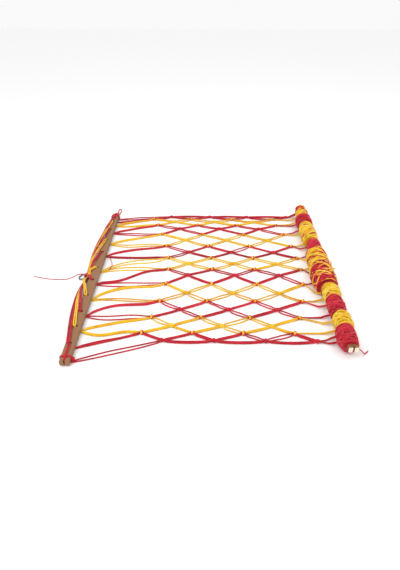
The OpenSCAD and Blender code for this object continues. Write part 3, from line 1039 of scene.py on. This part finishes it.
def draw_bridle_cord(i, rng):
    """Two strands side by side and the loop that joins them at the hole."""
    start, share = bridle_start(i)
    slack = 9.0 if abs(i - 5) > 1 else 2.0
    broad = 1.45 if i == 0 else 1.0
    over = np.array([-20.0, RING_Y + share * (HOLES[i] - RING_Y), BAR_TOP + 4.2])
    end = np.array([-5.5, HOLES[i], BAR_TOP + 3.2])
    way = end - over
    way /= np.linalg.norm(way)
    side = np.array([-way[1], way[0], 0.0])
    halves = []
    for strand in (-1, 1):
        apart = strand * broad * np.array([2.7, 0, 1.2])
        quarter = start + 0.35 * (over - start) + np.array([-slack, 0, 3.0]) + apart
        mid = start + 0.7 * (over - start) + np.array([-slack * 0.9, 0, 2.0]) + apart
        halves.append([
            start + strand * np.array([0.9, 0, 1.4]),
            quarter,
            mid,
            over + side * strand * 2.6 * broad - way * 4,
            (over + end) / 2 + side * strand * rng.uniform(2.9, 3.8),
            end + side * strand * 3.4 - way * 5,
        ])
    loop = [end + way * 2.0]
    line = smooth_line(halves[0] + loop + halves[1][::-1], step=4.0)
    over_bar = line[:, 0] > -BAR_EDGE - 1.5
    lowest = np.where(over_bar, BAR_TOP + 2.6, 3.8)
    line[:, 2] = np.maximum(line[:, 2], lowest)
    return line


for name, first in (("bridle_red", 0), ("bridle_gold", 1)):
    bundle = Bundle()
    for i in range(first, CORDS, 2):
        # painted shade: a lower tone than the net's strands darkens the bridle's cords
        bundle.cord(draw_bridle_cord(i, rng), 3.8 if i == 0 else 2.7, tone=rng.uniform(0.2, 0.5))
    piece = bundle.make(name + "_cords", FINISH[color_of(first)])
    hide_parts(name)
    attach(piece, "bridle")
print("bridle made")

# %% [markdown]
# ## The hitch
# A few turns of red cord hold the ring's wire. They are one helix, drawn a little out of round,
# with two slanting turns over it, so that it looks wrapped by hand. It stays outside the ring's
# wire, because the ring swings in it.


# %% Hitch on the ring
def make_hitch():
    bundle = Bundle()
    turns, width = 5.5, 13.6
    t = np.linspace(0, 1, 120)
    a = 2 * math.pi * turns * t
    r = 8.2 + 0.25 * np.sin(7 * a)
    helix = [RING_X + r * np.cos(a), RING_Y + width * (t - 0.5), RING_Z + r * np.sin(a)]
    bundle.cord(np.stack(helix, axis=1), 2.1, tone=0.45)
    b = np.linspace(0, 2 * math.pi, 30)
    for lean in (-1, 1):
        y = RING_Y + lean * 5.0 * np.sin(b + 0.6)
        slanting = [RING_X + 8.6 * np.cos(b), y, RING_Z + 8.6 * np.sin(b)]
        bundle.cord(np.stack(slanting, axis=1), 1.8, tone=0.6)
    piece = bundle.make("ring_hitch_turns", FINISH["red_cord"])
    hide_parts("ring_hitch")
    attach(piece, "bridle")


make_hitch()
print("hitch made")

# %% [markdown]
# ## Loops on the hitch
# Where the bridle's cords are made fast, short loops of both colours stand out of the hitch like
# a bow's. Each is a line that runs out, turns and comes back, arched so that it rests on the
# cords below. They all lie on the bar's side of the hitch, clear of the ring's swing.


# %% Loops of the bridle's cords on the hitch
def hitch_loop(angle, reach, lift):
    """A short loop that starts on the hitch and lies outwards."""
    a = math.radians(angle)
    out = np.array([math.cos(a), math.sin(a), 0.0])
    side = np.array([-math.sin(a), math.cos(a), 0.0])
    middle = np.array([RING_X + 6, RING_Y, RING_Z + 9.5])
    places = []
    for t in np.linspace(0, 2 * math.pi, 19):
        run = 0.5 * (1 - math.cos(t))
        aside = 3.4 * math.sin(t) * (0.5 + run)
        rise = np.array([0, 0, lift * math.sin(math.pi * run) - 6.0 * run])
        places.append(middle + out * (2 + reach * run) + side * aside + rise)
    return np.array(places)


# each loop's direction in degrees, its reach and how high it arches
LOOPS = {
    "red_cord": [(-22, 15, 3), (28, 15, 3)],
    "gold_cord": [(50, 17, 5), (3, 12, 5), (-48, 19, 5)],
}
for slot, loops in LOOPS.items():
    bundle = Bundle()
    for angle, reach, lift in loops:
        bundle.cord(hitch_loop(angle, reach, lift), 2.5, tone=rng.uniform(0.3, 0.6))
    piece = bundle.make("hitch_" + slot + "_loops", FINISH[slot])
    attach(piece, "bridle")
print("hitch loops:", {slot: len(loops) for slot, loops in LOOPS.items()})


# %% [markdown]
# ## Cord ends in the bare bar
# Short stretches go down through the holes and join the bridle to the net. At each end of the bar
# a doubled cord also goes over its top, down the saw notch and back under it. Turns of cord and
# a small knot finish each end. They are separate tubes, because they hide where those cords
# cross, and a single route through all of it would kink.


# %% Cord ends in the bare bar
def through_hole(y, strand):
    return [
        (-6.5, y, BAR_TOP + 2.0), (-3.2, y, BAR_TOP + 0.6),
        (-1.4, y + 0.6 * strand, BAR_TOP - 8), (-1.0, y + 0.9 * strand, BAR_BOTTOM + 6),
        (-2, y + 1.1 * strand, 4.9),
    ]


def over_end(x, side, start, along, edge):
    """Along the bar's top, down into the saw notch and back under the bar."""
    notch = side * 493
    return [
        (x, side * start, BAR_TOP + 2.2), (x * 0.8, side * along, BAR_TOP + 2.4),
        (x * 0.5, side * edge, BAR_TOP + 2.0), (x * 0.2, notch, BAR_TOP - 4),
        (x * 0.2, notch, BAR_TOP - 14), (x, side * 489, 3.2), (x, side * 482, 2.6),
    ]


def round_bar_end(side, turns, pitch):
    """Turns of cord that lie flat on the bar's four faces."""
    t = np.linspace(0, 1, 16 * turns)
    a = 2 * math.pi * turns * t
    half_w, half_h = BAR_EDGE + 1.8, (BAR_TOP - BAR_BOTTOM) / 2 + 1.8
    x = half_w * np.clip(1.25 * np.cos(a), -1, 1)
    z = (BAR_TOP + BAR_BOTTOM) / 2 + half_h * np.clip(1.25 * np.sin(a), -1, 1)
    y = side * 478 + 3.4 * turns * (t - 0.5) * pitch + 1.2 * np.sin(2 * a)
    return np.stack([x, y, z], axis=1)


def make_hole_cords():
    ends = {"red_cord": Bundle(), "gold_cord": Bundle()}
    for i in range(CORDS):
        for side in (-1, 1):
            for strand in (-1, 1):
                line = smooth_line(through_hole(hole_place(i, side), strand), 4.0)
                ends[color_of(i)].cord(line, SLIM_R, tone=0.4)
    red = ends["red_cord"]
    for x in (-3.0, 3.0):
        red.cord(smooth_line(over_end(x, -1, 424, 455, 486), 5.0), 2.1, tone=0.5)
        red.cord(smooth_line(over_end(x, 1, 459, 474, 488), 5.0), 2.1, tone=0.5)
    red.cord(round_bar_end(1, 4, 1), 2.3, tone=0.45)
    red.cord(round_bar_end(-1, 2, 0.8), 2.3, tone=0.45)
    red.cord(overhand(np.array([19.5, -478, 12.0]), 7.5, 0.6, rng), 2.5, tone=0.5)
    red.cord(overhand(np.array([2.0, 486, BAR_TOP + 4.5]), 7.5, 1.4, rng), 2.5, tone=0.5)
    for slot, bundle in ends.items():
        piece = bundle.make("bar_" + slot + "_ends", FINISH[slot])
        if slot == "red_cord":
            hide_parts("hole_cords")
        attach(piece, "bare_bar")


make_hole_cords()
print("cord ends made")
